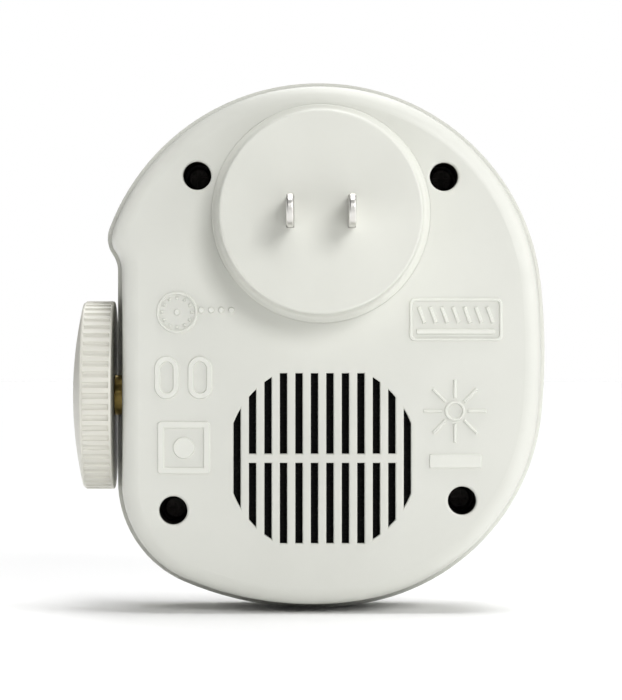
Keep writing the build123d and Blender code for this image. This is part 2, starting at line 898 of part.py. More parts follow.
with BuildPart() as transformer_winding:
    with BuildSketch(at_depth(core_depth - coil_side, core_x, core_z)):
        Rectangle(
            centre_leg + 2 * (window_wide - winding_side_gap), window_tall - 2 * winding_gap
        )
    extrude(amount=core_thick + 2 * coil_side)
    fillet(transformer_winding.edges().filter_by(Axis.Z), winding_corner_r)
    with BuildSketch(at_depth(core_depth - winding_gap, core_x, core_z)):
        Rectangle(centre_leg + 2 * winding_gap, window_tall)
    extrude(amount=core_thick + 2 * winding_gap, mode=Mode.SUBTRACT)
save(transformer_winding.part, "transformer_winding")

with BuildPart() as transformer_base:
    with BuildSketch(at_depth(board_front, core_x, core_z)):
        RectangleRounded(core_width - 2 * base_inset, core_height, base_inset)
    extrude(amount=core_lift - coil_side)
save(transformer_base.part, "transformer_base")


def board_box(x, z, width, height, thick, edge):
    """A moulded block that stands on the board's front."""
    with BuildPart() as block:
        with BuildSketch(at_depth(board_front, x, z)):
            Rectangle(width, height)
        extrude(amount=thick)
        fillet(block.faces().sort_by(Axis.Y)[0].edges(), edge)
    return block.part


for name, spot, size, edge in board_blocks:
    save(board_box(*spot, *size, edge), name)


def cans(rows):
    """Round capacitors: a case with a pressed groove near its foot."""
    with BuildPart() as group:
        for x, z, radius, tall in rows:
            with BuildSketch(at_depth(board_front, x, z)):
                Circle(radius)
            extrude(amount=tall)
            with BuildSketch(at_depth(board_front + bead_lift, x, z)):
                Circle(radius)
                Circle(radius - bead_depth, mode=Mode.SUBTRACT)
            extrude(amount=bead_width, mode=Mode.SUBTRACT)
    return group.part


save(cans(can_rows), "filter_capacitors")

with BuildPart() as driver_chip:
    with BuildSketch(at_depth(board_front + chip_lift, chip_x, chip_z)):
        Rectangle(chip_length, chip_width)
        with Locations((-chip_length / 2, 0)):
            Circle(chip_notch_r, mode=Mode.SUBTRACT)
    extrude(amount=chip_thick)
    with BuildSketch(at_depth(board_front, chip_x, chip_z)):
        with GridLocations(leg_pitch, chip_width + leg_deep, chip_legs, 2):
            Rectangle(leg_wide, leg_deep)
    extrude(amount=leg_tall)
save(driver_chip.part, "driver_chip")


def across_board(x, lift, z):
    """The plane that faces +X at a height over the board's front."""
    return Plane(origin=(x, -board_front - lift, z), x_dir=(0, 1, 0), z_dir=(1, 0, 0))


with BuildPart() as fuse:
    with BuildSketch(across_board(fuse_x, fuse_lift, fuse_z)):
        Circle(fuse_r)
    extrude(amount=fuse_length / 2, both=True)
    for way in (1, -1):
        with BuildSketch(across_board(fuse_x + way * fuse_length / 2, fuse_lift, fuse_z)):
            Circle(fuse_cap_r)
        extrude(amount=fuse_cap / 2, both=True)
    with BuildSketch(at_depth(board_front, fuse_x, fuse_z)):
        with GridLocations(fuse_length, 0, 2, 1):
            Rectangle(fuse_foot, fuse_r)
    extrude(amount=fuse_lift)
save(fuse.part, "fuse")

with BuildPart() as resistors:
    for x, z in resistor_spots:
        with BuildSketch(across_board(x, resistor_lift, z)):
            Circle(resistor_r)
        extrude(amount=resistor_length / 2, both=True)
        with BuildSketch(across_board(x, resistor_lift, z)):
            Circle(wire_r)
        extrude(amount=leg_span / 2, both=True)
        with BuildSketch(at_depth(board_front, x, z)):
            with GridLocations(leg_span, 0, 2, 1):
                Circle(wire_r)
        extrude(amount=resistor_lift)
save(resistors.part, "resistors")

with BuildPart() as ceramic_capacitors:
    for x, z in ceramic_spots:
        with BuildSketch(at_depth(board_front, x, z)):
            with GridLocations(ceramic_r, 0, 2, 1):
                Circle(wire_r)
        extrude(amount=ceramic_lift)
        with BuildSketch(Plane.XY.offset(z).move(Location((x, -board_front - ceramic_lift, 0)))):
            Circle(ceramic_r)
        extrude(amount=ceramic_thick / 2, both=True)
save(ceramic_capacitors.part, "ceramic_capacitors")


# ---- sounder ------------------------------------------------------------
with BuildPart() as sounder_frame:
    with BuildSketch(vent_side):
        with BuildLine():
            Polyline(
                (flange_front, sounder_r),
                (flange_back, sounder_r),
                (flange_back, basket_mouth_r),
                (basket_back, basket_back_r),
                (basket_back, basket_bore_r),
                (basket_back + flange_thick, basket_bore_r),
                (basket_back + flange_thick, basket_back_r - 0.7 * basket_wall),
                (flange_front, basket_mouth_r - basket_wall),
                close=True,
            )
        make_face()
    revolve(axis=vent_axis)
    with BuildSketch(at_depth(flange_back, vent_x, vent_z)):
        with Locations(*ear_spots):
            Circle(ear_r)
        Circle(sounder_r - ear_overlap, mode=Mode.SUBTRACT)
    extrude(amount=flange_thick)
    with BuildSketch(at_depth(flange_back, vent_x, vent_z)):
        with Locations(*ear_spots):
            Circle(small_screw_r + screw_gap)
    extrude(amount=flange_thick, mode=Mode.SUBTRACT)
save(sounder_frame.part, "sounder_frame")

top_plate_depth = basket_back - plate_thick
magnet_depth = top_plate_depth - magnet_thick
yoke_depth = magnet_depth - plate_thick
coil_r = pole_r + coil_gap
with BuildPart() as sounder_magnet:
    with BuildSketch(at_depth(magnet_depth, vent_x, vent_z)):
        Circle(magnet_r)
        Circle(pole_r + magnet_bore_gap, mode=Mode.SUBTRACT)
    extrude(amount=magnet_thick)
    chamfer(sounder_magnet.edges().filter_by(GeomType.CIRCLE), magnet_edge)
save(sounder_magnet.part, "sounder_magnet")

with BuildPart() as sounder_yoke:
    with BuildSketch(at_depth(yoke_depth, vent_x, vent_z)):
        Circle(magnet_r - plate_inset)
    extrude(amount=plate_thick)
    with BuildSketch(at_depth(yoke_depth, vent_x, vent_z)):
        Circle(pole_r)
    extrude(amount=basket_back - yoke_depth)
    with BuildSketch(at_depth(top_plate_depth, vent_x, vent_z)):
        Circle(magnet_r - plate_inset)
        Circle(coil_r + coil_thick + coil_gap, mode=Mode.SUBTRACT)
    extrude(amount=plate_thick)
save(sounder_yoke.part, "sounder_yoke")

cone_throat = basket_back + throat_lift
with BuildPart() as sounder_coil:
    with BuildSketch(at_depth(top_plate_depth - coil_reach, vent_x, vent_z)):
        Circle(coil_r + coil_thick)
        Circle(coil_r, mode=Mode.SUBTRACT)
    extrude(amount=cone_throat - top_plate_depth + coil_reach)
save(sounder_coil.part, "sounder_coil")

cone_front = flange_front + cone_rim_thick
with BuildPart() as sounder_cone:
    with BuildSketch(vent_side):
        with BuildLine():
            Polyline(
                (flange_front, cone_rim_r),
                (cone_front, cone_rim_r),
                (cone_front, cone_mouth_r - cone_wall),
                (cone_throat + throat_tall, coil_r),
                (cone_throat, coil_r),
                (cone_throat, coil_r + coil_thick + throat_wall),
                (flange_front, cone_mouth_r),
                close=True,
            )
        make_face()
    revolve(axis=vent_axis)
save(sounder_cone.part, "sounder_cone")

with BuildPart() as sounder_gasket:
    with BuildSketch(at_depth(cone_front, vent_x, vent_z)):
        Circle(cone_rim_r)
        Circle(cone_rim_r - gasket_width, mode=Mode.SUBTRACT)
    extrude(amount=gasket_thick)
save(sounder_gasket.part, "sounder_gasket")


# ---- rotary control ----
can_back_x = can_face_x - can_length
track_x = can_back_x + can_wall
terminal_x = track_x + track_thick / 2
with BuildPart() as control_can:
    with BuildSketch(at_x(can_back_x)):
        Circle(can_r)
    extrude(amount=can_length)
    fillet(control_can.faces().sort_by(Axis.X)[0].edges(), can_edge_r)
    with BuildSketch(at_x(can_back_x + can_wall)):
        Circle(can_r - can_wall)
    extrude(amount=can_length - 2 * can_wall, mode=Mode.SUBTRACT)
    with BuildSketch(at_x(can_face_x)):
        Circle(bush_r)
    extrude(amount=-can_wall, mode=Mode.SUBTRACT)
    # window in the wall for the terminals
    with BuildSketch(Plane(origin=(terminal_x, -knob_depth, knob_z), z_dir=(0, 0, 1))):
        Rectangle(can_window, can_window_width)
    extrude(amount=can_r + can_wall, mode=Mode.SUBTRACT)
save(control_can.part, "control_can")

with BuildPart() as control_bushing:
    with BuildSketch(at_x(can_face_x - can_wall)):
        Circle(bush_r)
    extrude(amount=bush_end_x - can_face_x + can_wall)
    chamfer(control_bushing.faces().sort_by(Axis.X)[-1].edges(), bush_edge)
    with BuildSketch(at_x(can_face_x - can_wall)):
        Circle(shaft_r + run_gap)
    extrude(amount=bush_end_x - can_face_x + can_wall, mode=Mode.SUBTRACT)
save(control_bushing.part, "control_bushing")

terminal_top = knob_z + can_r + terminal_out
with BuildPart() as control_track:
    with BuildSketch(at_x(track_x)):
        Circle(can_r - can_wall - can_gap)
    extrude(amount=track_thick)
    with BuildSketch(Plane(origin=(terminal_x, -knob_depth, knob_z + terminal_root), z_dir=(0, 0, 1))):
        with GridLocations(0, terminal_pitch, 1, 3):
            Rectangle(terminal_thick, terminal_width)
    extrude(amount=terminal_top - knob_z - terminal_root)
save(control_track.part, "control_track")

wiper_x = track_x + wiper_lift
wiper_face_x = wiper_x + wiper_thick
collar_x = can_face_x - can_wall - hub_gap
with BuildPart() as control_wiper:
    with BuildSketch(at_x(wiper_x)):
        Circle(wiper_r)
        with Locations((0, -wiper_arm_at)):
            Rectangle(wiper_arm_width, wiper_arm)
        Circle(shaft_pin_r, mode=Mode.SUBTRACT)
    extrude(amount=wiper_thick)
save(control_wiper.part, "control_wiper")

shaft_end_x = knob_edge_x - cap_seat - cap_gap
hub_face_x = bush_end_x + hub_gap
with BuildPart() as control_shaft:
    with BuildSketch(at_x(wiper_x)):
        Circle(shaft_pin_r)
    extrude(amount=wiper_thick)
    with BuildSketch(at_x(wiper_face_x)):
        Circle(shaft_r)
    extrude(amount=shaft_end_x - wiper_face_x)
    with BuildSketch(at_x(wiper_face_x)):
        Circle(collar_r)
    extrude(amount=collar_x - wiper_face_x)
    with BuildSketch(at_x(hub_face_x)):
        with Locations((0, shaft_r)):
            Rectangle(2 * shaft_r, 2 * shaft_flat)
    extrude(amount=shaft_end_x - hub_face_x, mode=Mode.SUBTRACT)
save(control_shaft.part, "control_shaft")

with BuildPart() as knob:
    with BuildSketch(at_x(knob_face_x)):
        Circle(knob_r)
    extrude(amount=knob_rim)
    fillet(knob.faces().sort_by(Axis.X)[0].edges(), knob_edge_r)
    # grooves between the grip ribs
    with BuildSketch(at_x(knob_face_x + knob_plain)):
        with PolarLocations(knob_r + rib_groove_out, rib_count):
            Circle(rib_groove_r)
    extrude(amount=knob_rim - knob_plain, mode=Mode.SUBTRACT)
    # hollow on the outer side, round the hub, with a seat for the cap
    with BuildSketch(at_x(knob_edge_x)):
        Circle(knob_r - knob_wall)
        Circle(hub_r, mode=Mode.SUBTRACT)
    extrude(amount=knob_web - knob_rim, mode=Mode.SUBTRACT)
    with BuildSketch(at_x(knob_edge_x)):
        Circle(knob_r - knob_wall + cap_lip)
    extrude(amount=-cap_seat, mode=Mode.SUBTRACT)
    # recess that the bushing's end stands in
    with BuildSketch(at_x(knob_face_x)):
        Circle(bush_r + hub_gap)
    extrude(amount=hub_face_x - knob_face_x, mode=Mode.SUBTRACT)
    # bore with a flat, on the shaft
    with BuildSketch(at_x(hub_face_x)):
        Circle(shaft_r)
        with Locations((0, shaft_r)):
            Rectangle(2 * shaft_r, 2 * shaft_flat, mode=Mode.SUBTRACT)
    extrude(amount=shaft_end_x - hub_face_x, mode=Mode.SUBTRACT)
save(knob.part, "knob")

knob_top_x = knob_edge_x + knob_dome
cap_r = knob_r - cap_step
cap_rise = knob_dome - cap_edge
dome_r = (cap_r**2 + cap_rise**2) / (2 * cap_rise)
with BuildPart() as knob_cap:
    with BuildSketch(knob_side):
        with BuildLine():
            Polyline(
                (knob_top_x, 0),
                (knob_edge_x, 0),
                (knob_edge_x, cap_r),
                (knob_edge_x + cap_edge, cap_r),
            )
            ThreePointArc(
                (knob_edge_x + cap_edge, cap_r),
                (knob_top_x - dome_r + leg(dome_r, cap_r / 2), cap_r / 2),
                (knob_top_x, 0),
            )
        make_face()
    revolve(axis=knob_axis)
    rim = knob_cap.edges().filter_by(GeomType.CIRCLE).filter_by(
        lambda edge: abs(edge.radius - cap_r) < 0.01
    )
    fillet(rim.sort_by(Axis.X)[-1], 0.9 * cap_edge)
    with BuildSketch(at_x(knob_edge_x)):
        Circle(knob_r - knob_wall + cap_lip - cap_gap)
        Circle(knob_r - knob_wall - cap_lip, mode=Mode.SUBTRACT)
    extrude(amount=-cap_seat)
    with BuildSketch(at_x(knob_top_x)):
        with Locations((0, knob_r / 2)):
            SlotOverall(knob_r / 2, pointer_width, rotation=90)
    extrude(amount=-knob_dome / 2, mode=Mode.SUBTRACT)
save(knob_cap.part, "knob_cap")


# ---- internal leads, held between their two ends ----
def lead_group(routes, radius):
    """Round leads of one size, each along straight runs joined by arcs."""
    with BuildPart() as group:
        for points, bends in routes:
            with BuildLine() as route:
                FilletPolyline(*points, radius=bends)
            with BuildSketch(Plane(origin=route.line @ 0, z_dir=route.line % 0)):
                Circle(radius)
            sweep(path=route.line)
    return group.part


tail_end = holder_start + tail_length
mains_routes = [
    (
        [
            (way * blade_x, -tail_end, 0),
            (way * blade_x, -inner_back - lead_turn, 0),
            (way * (blade_x + 3), -inner_back - lead_turn - 1, 11.5),
            (way * (blade_x + 3), -board_depth, 11.5),
        ],
        [2.8, 2.8],
    )
    for way in (1, -1)
]
save(lead_group(mains_routes, lead_r), "mains_leads")

control_routes = [
    (
        [
            (terminal_x, -knob_depth + step * terminal_pitch, terminal_top),
            (terminal_x, -knob_depth + step * terminal_pitch, control_land_z - 2 * step),
            (terminal_x, -board_front, control_land_z - 2 * step),
        ],
        [1.4],
    )
    for step in (-1, 0, 1)
]
save(lead_group(control_routes, control_lead_r), "control_leads")

sounder_routes = [
    (
        [
            (vent_x + way * sounder_exit_x, -board_front, sounder_exit_z),
            (vent_x + way * sounder_exit_x, -board_front - 5, sounder_exit_z),
            (vent_x + way * 6, -basket_back + 3, vent_z + basket_back_r + 5),
            (vent_x + way * 6, -flange_back + 0.4, vent_z + sounder_r - 1),
        ],
        [2.4, 2.4],
    )
    for way in (1, -1)
]
save(lead_group(sounder_routes, sounder_lead_r), "sounder_leads")
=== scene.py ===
"""Looks for the plug-in ultrasonic pest repeller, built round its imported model."""

import math

import bmesh
import bpy
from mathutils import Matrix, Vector


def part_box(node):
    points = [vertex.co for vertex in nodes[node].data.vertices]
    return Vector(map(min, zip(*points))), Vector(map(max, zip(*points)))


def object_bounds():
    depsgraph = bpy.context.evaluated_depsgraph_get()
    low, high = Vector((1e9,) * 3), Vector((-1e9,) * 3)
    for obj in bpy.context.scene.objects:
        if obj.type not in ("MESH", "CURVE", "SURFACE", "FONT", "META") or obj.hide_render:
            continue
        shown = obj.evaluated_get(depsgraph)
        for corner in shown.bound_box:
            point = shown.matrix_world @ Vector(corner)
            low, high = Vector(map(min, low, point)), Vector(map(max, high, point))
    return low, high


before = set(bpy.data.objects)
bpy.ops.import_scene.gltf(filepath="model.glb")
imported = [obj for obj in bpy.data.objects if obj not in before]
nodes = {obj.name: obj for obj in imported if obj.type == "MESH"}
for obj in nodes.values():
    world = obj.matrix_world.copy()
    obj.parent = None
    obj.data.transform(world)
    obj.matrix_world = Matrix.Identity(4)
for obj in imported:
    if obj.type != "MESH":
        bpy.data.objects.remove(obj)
cad_low, cad_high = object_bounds()
MM = 0.001


# ---- shader maths ----
class Value:
    """A number that varies over a surface; an expression on values adds its Math nodes."""

    def __init__(self, finish, socket):
        self.finish = finish
        self.socket = socket

    def __add__(self, other):
        return self.finish.math("ADD", self, other)

    def __radd__(self, other):
        return self.finish.math("ADD", other, self)

    def __sub__(self, other):
        return self.finish.math("SUBTRACT", self, other)

    def __rsub__(self, other):
        return self.finish.math("SUBTRACT", other, self)

    def __mul__(self, other):
        return self.finish.math("MULTIPLY", self, other)

    def __rmul__(self, other):
        return self.finish.math("MULTIPLY", other, self)

    def __truediv__(self, other):
        return self.finish.math("DIVIDE", self, other)

    def __rtruediv__(self, other):
        return self.finish.math("DIVIDE", other, self)

    def __mod__(self, other):
        return self.finish.math("FLOORED_MODULO", self, other)

    def __abs__(self):
        return self.finish.math("ABSOLUTE", self)

    def __gt__(self, other):
        return self.finish.math("GREATER_THAN", self, other)

    def __lt__(self, other):
        return self.finish.math("LESS_THAN", self, other)


SOCKETS = {
    "metallic": "Metallic",
    "ior": "IOR",
    "specular_ior_level": "Specular IOR Level",
    "coat_weight": "Coat Weight",
    "sheen_weight": "Sheen Weight",
    "transmission_weight": "Transmission Weight",
}


class Finish:
    """A material: one surface shader, and the nodes that vary it over the piece."""

    def __init__(self, name, color, roughness, **uniform):
        self.name = name
        self.material = bpy.data.materials.new(name)
        self.material.use_nodes = True
        self.tree = self.material.node_tree
        self.tree.nodes.clear()
        self.output = self.tree.nodes.new("ShaderNodeOutputMaterial")
        self.surface = self.tree.nodes.new("ShaderNodeBsdfPrincipled")
        self.tree.links.new(self.surface.outputs[0], self.output.inputs["Surface"])
        self.set("Base Color", color)
        self.set("Roughness", roughness)
        for key, value in uniform.items():
            self.set(SOCKETS[key], value)

    def set(self, key, value):
        """Gives one of the surface shader's sockets a number, a colour or a varying value."""
        self.feed(self.surface.inputs[key], value)

    def feed(self, socket, value):
        if isinstance(value, Value):
            self.tree.links.new(value.socket, socket)
        elif isinstance(value, tuple) and len(value) == 3 and socket.type == "RGBA":
            socket.default_value = (*value, 1.0)
        else:
            socket.default_value = value

    def node(self, kind, settings=None, inputs=None, output=0):
        """Adds a node: its settings first, then its sockets by name or by place among those in use."""
        made = self.tree.nodes.new(kind)
        for key, value in (settings or {}).items():
            setattr(made, key, value)
        for key, value in (inputs or {}).items():
            used = [s for s in made.inputs if s.enabled]
            socket = used[key] if isinstance(key, int) else next(s for s in used if s.name == key)
            self.feed(socket, value)
        shown = [s for s in made.outputs if s.enabled]
        socket = shown[output] if isinstance(output, int) else next(s for s in shown if s.name == output)
        return Value(self, socket)

    def math(self, operation, *values):
        return self.node("ShaderNodeMath", {"operation": operation}, dict(enumerate(values)))

    def place(self):
        """Where a point lies in the frame, in metres."""
        return self.node("ShaderNodeTexCoord", output="Object")

    def axes(self):
        """The point's X, Y and Z."""
        place = self.place()
        return [self.node("ShaderNodeSeparateXYZ", {}, {0: place}, axis) for axis in ("X", "Y", "Z")]

    def noise(self, size, detail=2.0, stretch=(1, 1, 1)):
        """Soft cloudy variation from 0 to 1, its lumps about one size across."""
        spread = tuple(s / size for s in stretch)
        place = self.node("ShaderNodeMapping", {}, {"Vector": self.place(), "Scale": spread})
        return self.node("ShaderNodeTexNoise", {}, {"Vector": place, "Scale": 1.0, "Detail": detail}, "Fac")

    def cells(self, size):
        """How far a point is from the middle of its cell, for cells about one size across."""
        place = self.node("ShaderNodeMapping", {}, {"Vector": self.place(), "Scale": (1 / size,) * 3})
        return self.node("ShaderNodeTexVoronoi", {}, {"Vector": place}, "Distance")

    def mix(self, share, first, second):
        """A blend of two colours."""
        return self.node("ShaderNodeMix", {"data_type": "RGBA"}, {"Factor": share, "A": first, "B": second})

    def between(self, value, low, high):
        """A value's way from low to high, as a share that stops at both ends."""
        settings = {"interpolation_type": "SMOOTHSTEP"}
        inputs = {"Value": value, "From Min": low, "From Max": high, "To Min": 0.0, "To Max": 1.0}
        return self.node("ShaderNodeMapRange", settings, inputs)

    def bump(self, height, depth):
        """Roughens the surface by a height from 0 to 1 that stands for a depth in metres."""
        inputs = {"Height": height, "Distance": depth, "Strength": 1.0}
        self.set("Normal", self.node("ShaderNodeBump", {}, inputs))


# ---- reading the frame ----
def solids_of(name):
    """The (low, high) corners of each separate solid in a CAD node, in a steady order."""
    shape = bmesh.new()
    shape.from_mesh(nodes[name].data)
    bmesh.ops.remove_doubles(shape, verts=shape.verts, dist=0.001 * MM)
    left = set(shape.verts)
    found = []
    while left:
        seed = left.pop()
        group = [seed]
        for vert in group:
            for edge in vert.link_edges:
                other = edge.other_vert(vert)
                if other in left:
                    left.remove(other)
                    group.append(other)
        low = Vector(min(v.co[axis] for v in group) for axis in range(3))
        high = Vector(max(v.co[axis] for v in group) for axis in range(3))
        found.append((low, high))
    shape.free()
    return sorted(found, key=lambda corners: tuple(corners[0]))


# ---- finishes ----
def moulded_plastic(name, light, roughness, shade=0.975, grain=0.22 * MM, depth=0.005 * MM, **uniform):
    """Injection-moulded plastic with the fine even sparkle of an etched mould."""
    made = Finish(name, light, roughness, **uniform)
    dark = tuple(c * shade for c in light)
    clouds = made.noise(14 * MM, 3)
    etched = made.noise(grain, 2)
    made.color = made.mix(made.between(clouds, 0.3, 0.7), dark, light)
    made.set("Base Color", made.color)
    made.set("Roughness", roughness + (etched - 0.5) * 0.16 + (clouds - 0.5) * 0.08)
    made.bump(etched, depth)
    return made


def worked_metal(name, color, roughness, marks=(1, 1, 1), size=0.3 * MM, depth=0.002 * MM):
    """Plated or turned metal with fine tool marks along one way."""
    made = Finish(name, color, roughness, metallic=1.0)
    scratches = made.noise(size, 2, marks)
    stain = made.noise(4 * MM, 3)
    dull = tuple(c * 0.86 for c in color)
    made.set("Base Color", made.mix(made.between(stain, 0.35, 0.7), color, dull))
    made.set("Roughness", roughness + (scratches - 0.5) * 0.12 + (stain - 0.5) * 0.1)
    made.bump(scratches, depth)
    return made


def threaded_metal(name, color, roughness, pitch):
    """Blackened screws, with a thread that shows on what runs along Y."""
    made = Finish(name, color, roughness, metallic=1.0)
    turn = made.axes()[1] / pitch % 1.0
    crest = 1.0 - abs(turn * 2.0 - 1.0)
    worn = made.noise(1.5 * MM, 3)
    made.set("Base Color", made.mix(made.between(worn, 0.4, 0.7), color, tuple(c * 2.0 for c in color)))
    made.set("Roughness", roughness + (worn - 0.5) * 0.2)
    made.bump(crest, 0.25 * MM)
    return made


def speckled(name, color, roughness, size, depth, contrast=0.6, **uniform):
    """A sintered, foamed or pressed material: grains of slightly different tone and height."""
    made = Finish(name, color, roughness, **uniform)
    grains = made.cells(size)
    drift = made.noise(6 * MM, 3)
    dark = tuple(c * contrast for c in color)
    made.set("Base Color", made.mix(grains * 0.7 + drift * 0.3, dark, color))
    made.set("Roughness", roughness + (drift - 0.5) * 0.15)
    made.bump(grains, depth)
    return made


def ringed(name, color, roughness, axis, pitch, depth, **uniform):
    """Fine turns side by side along one axis, as of wire or tape."""
    made = Finish(name, color, roughness, **uniform)
    across = made.axes()[axis] / pitch % 1.0
    crest = 1.0 - abs(across * 2.0 - 1.0)
    dark = tuple(c * 0.55 for c in color)
    made.set("Base Color", made.mix(made.between(crest, 0.0, 0.45), dark, color))
    made.set("Roughness", roughness + (made.noise(1 * MM) - 0.5) * 0.2)
    made.bump(made.between(crest, 0.0, 0.8), depth)
    return made


def housing_plastic():
    """The warm white of the shells, with a painted highlight on the marks in relief and painted shade deep
    inside the screw wells.
    """
    color = (0.655, 0.66, 0.61)
    made = moulded_plastic("housing_plastic", color, 0.44)
    x, y, z = made.axes()
    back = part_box("rear_shell")[1].y - 0.45 * MM
    # Painted highlight: the raised marks are painted six per cent lighter than the shell, standing in for
    # their lit relief.
    relief_highlight_mask = made.between(y, back + 0.05 * MM, back + 0.4 * MM)
    lit = made.mix(relief_highlight_mask, made.color, tuple(min(1.0, c * 1.06) for c in color))
    well_reach = 3.2 * MM
    well_shade_mask = 0.0
    for low, high in solids_of("housing_screws"):
        middle = (low + high) / 2
        reach = (x - middle.x) * (x - middle.x) + (z - middle.z) * (z - middle.z)
        well_shade_mask = well_shade_mask + (reach < well_reach**2) * (y > high.y - 4 * MM)
    # Painted shade: the screw wells are painted near black deep inside, and an olive-brown painted shade
    # darkens their mouths.
    deep_painted_shade = well_shade_mask * made.between(y, back - 0.5 * MM, back - 2.4 * MM)
    mouth_painted_shade = well_shade_mask * made.between(y, back - 0.4 * MM, back - 1.0 * MM)
    mouth_shaded_color = made.mix(mouth_painted_shade * 0.75, lit, (0.16, 0.15, 0.10))
    made.set("Base Color", made.mix(deep_painted_shade, mouth_shaded_color, (0.010, 0.008, 0.006)))
    return made


def board_laminate():
    """Green solder mask over square-run copper tracks, tinned joints, and the laminate's bare edge."""
    made = Finish("board_laminate", (0.02, 0.13, 0.045), 0.3, coat_weight=0.3)
    x, y, z = made.axes()
    low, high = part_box("main_board")
    pitch = 2.54 * MM
    across = abs(x / pitch % 1.0 - 0.5)
    along = abs(z / pitch % 1.0 - 0.5)
    region = made.between(made.noise(8 * MM, 0), 0.49, 0.51)
    lane = made.between(across, 0.16, 0.13) * region + made.between(along, 0.16, 0.13) * (1.0 - region)
    used = made.between(made.noise(5 * MM, 0, (1, 1, 1.5)), 0.42, 0.44)
    track = lane * used
    joint = (across * across + along * along < 0.28**2) * (made.noise(3.1 * MM, 0) > 0.6)
    weave = made.noise(0.5 * MM, 1, (1, 1, 0.2)) * 0.25
    mask = made.mix(track * 0.75 + weave, (0.010, 0.075, 0.028), (0.028, 0.15, 0.05))
    middle = (low.y + high.y) / 2
    face = abs(y - middle) > (high.y - low.y) * 0.42
    back = (y > middle) * face
    tinned = joint * back
    soldered = made.mix(tinned, mask, (0.6, 0.6, 0.58))
    made.set("Base Color", made.mix(face, (0.32, 0.34, 0.16), soldered))
    made.set("Metallic", tinned)
    made.set("Roughness", 0.68 - face * 0.4)
    made.bump(track * 0.3 + tinned * 0.7, 0.1 * MM)
    return made


def resistor_body():
    """Beige lacquer with four colour bands across each body."""
    made = Finish("resistor_body", (0.62, 0.47, 0.27), 0.4, specular_ior_level=0.5)
    x, y, z = made.axes()
    color = (0.62, 0.47, 0.27)
    bands = (
        (-2.0, (0.30, 0.10, 0.03)),
        (-0.9, (0.02, 0.02, 0.02)),
        (0.2, (0.6, 0.04, 0.02)),
        (1.7, (0.5, 0.36, 0.08)),
    )
    middles = sorted({round((low + high).x / 2, 5) for low, high in solids_of("resistors")})
    for offset, tint in bands:
        band = 0.0
        for middle in middles:
            band = band + (abs(x - (middle + offset * MM)) < 0.28 * MM)
        color = made.mix(band, color, tint)
    tinned = 0.0
    for middle in middles:
        tinned = tinned + (abs(x - middle) < 3.05 * MM)
    made.set("Base Color", made.mix(tinned, (0.55, 0.54, 0.52), color))
    made.set("Metallic", 1.0 - tinned)
    made.set("Roughness", 0.36 + made.noise(1 * MM) * 0.1)
    return made


def fuse_glass():
    """A clear tube with a plated cap at each end."""
    made = Finish("fuse_glass", (0.86, 0.9, 0.9), 0.05, transmission_weight=0.85, ior=1.5)
    low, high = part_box("fuse")
    x, y, z = made.axes()
    caps = abs(x - (low.x + high.x) / 2) > (high.x - low.x) * 0.3
    wear = made.noise(1 * MM, 3)
    made.set("Base Color", made.mix(caps, (0.86, 0.9, 0.9), (0.66, 0.65, 0.62)))
    made.set("Metallic", caps)
    made.set("Roughness", 0.04 + caps * 0.2 + wear * 0.05)
    return made


def capacitor_sleeve():
    """Dark blue shrink sleeve, with a pale stripe down one side and a bare end."""
    made = Finish("capacitor_sleeve", (0.02, 0.035, 0.12), 0.32, specular_ior_level=0.5)
    x, y, z = made.axes()
    stripe = 0.0
    bare = 0.0
    for low, high in solids_of("filter_capacitors"):
        middle = (low + high) / 2
        radius = (high.x - low.x) / 2
        near = (abs(x - middle.x) < radius) * (abs(z - middle.z) < radius)
        stripe = stripe + near * (x > middle.x + radius * 0.72)
        inner = (x - middle.x) * (x - middle.x) + (z - middle.z) * (z - middle.z) < (0.8 * radius) ** 2
        bare = bare + near * inner * (y < low.y + 0.05 * MM)
    sleeve = made.mix(stripe, (0.02, 0.035, 0.12), (0.45, 0.5, 0.55))
    made.set("Base Color", made.mix(bare, sleeve, (0.62, 0.62, 0.62)))
    made.set("Metallic", bare)
    made.set("Roughness", 0.3 + bare * 0.1 + made.noise(0.8 * MM) * 0.08)
    return made


def dust_cloth():
    """Black nylon in a plain weave."""
    made = Finish("dust_cloth", (0.010, 0.010, 0.010), 1.0, specular_ior_level=0.15)
    x, y, z = made.axes()
    pitch = 0.7 * MM
    over = abs(x / pitch % 1.0 - 0.5) + abs(z / pitch % 1.0 - 0.5)
    made.set("Base Color", made.mix(over, (0.006, 0.006, 0.006), (0.002, 0.002, 0.002)))
    made.bump(over, 0.12 * MM)
    return made


def cone_paper():
    """Black pressed paper with long fibres."""
    made = Finish("cone_paper", (0.03, 0.03, 0.03), 0.85)
    fibres = made.noise(0.9 * MM, 4, (1, 4, 1))
    made.set("Base Color", made.mix(fibres, (0.018, 0.018, 0.018), (0.06, 0.06, 0.058)))
    made.bump(fibres, 0.05 * MM)
    return made


